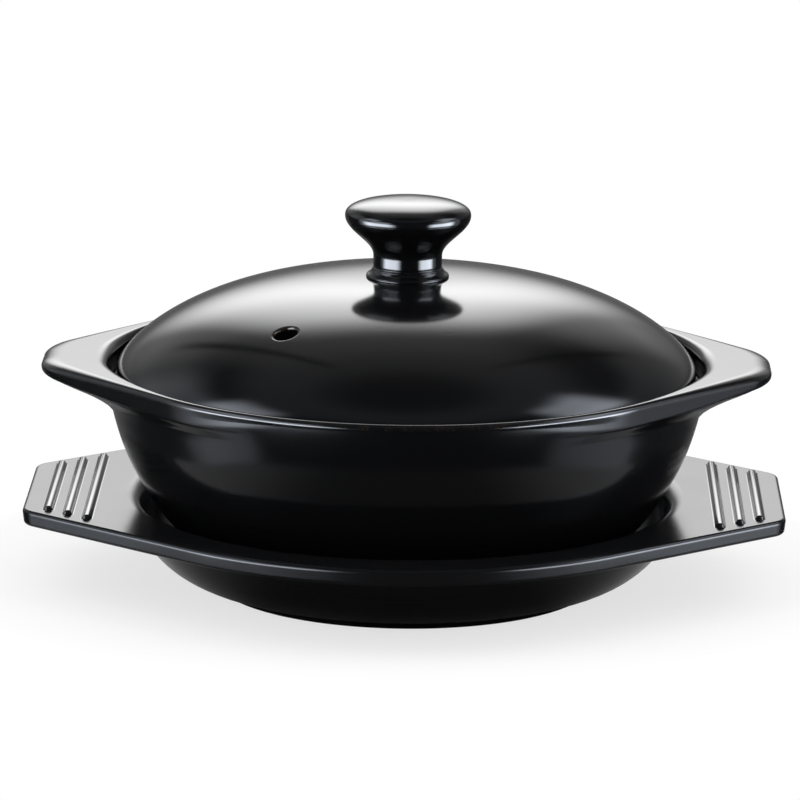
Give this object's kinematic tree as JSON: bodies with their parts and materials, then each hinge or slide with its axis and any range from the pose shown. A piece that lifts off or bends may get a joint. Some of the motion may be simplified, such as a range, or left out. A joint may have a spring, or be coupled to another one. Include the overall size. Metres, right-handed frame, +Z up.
{
  "type": "sand pot casserole",
  "caption": "Shallow black glazed casserole with side lugs and a domed lid with a knob and a steam hole, standing in a winged serving tray with grip ribs.",
  "frame": {"origin": "middle of the tray's foot ring, on the table plane", "axes": "+Z up; X runs through both lugs and both wings; -Y is the front"},
  "size_m": [0.28, 0.236, 0.1447],
  "materials": {
    "black_glaze": "smooth black gloss glaze over stoneware",
    "tray_plastic": "moulded black melamine, satin gloss"
  },
  "bodies": {
    "tray": {"tray": "tray_plastic"},
    "pot": {"pot": "black_glaze"},
    "lid": {"lid": "black_glaze", "knob": "black_glaze"}
  },
  "joints": [
    {"name": "pot_lift", "type": "slide", "parent": "tray", "child": "pot", "axis": [0, 0, 1], "range_m": [0, 0.12]},
    {"name": "lid_lift", "type": "slide", "parent": "pot", "child": "lid", "axis": [0, 0, 1], "range_m": [0, 0.12]}
  ]
}
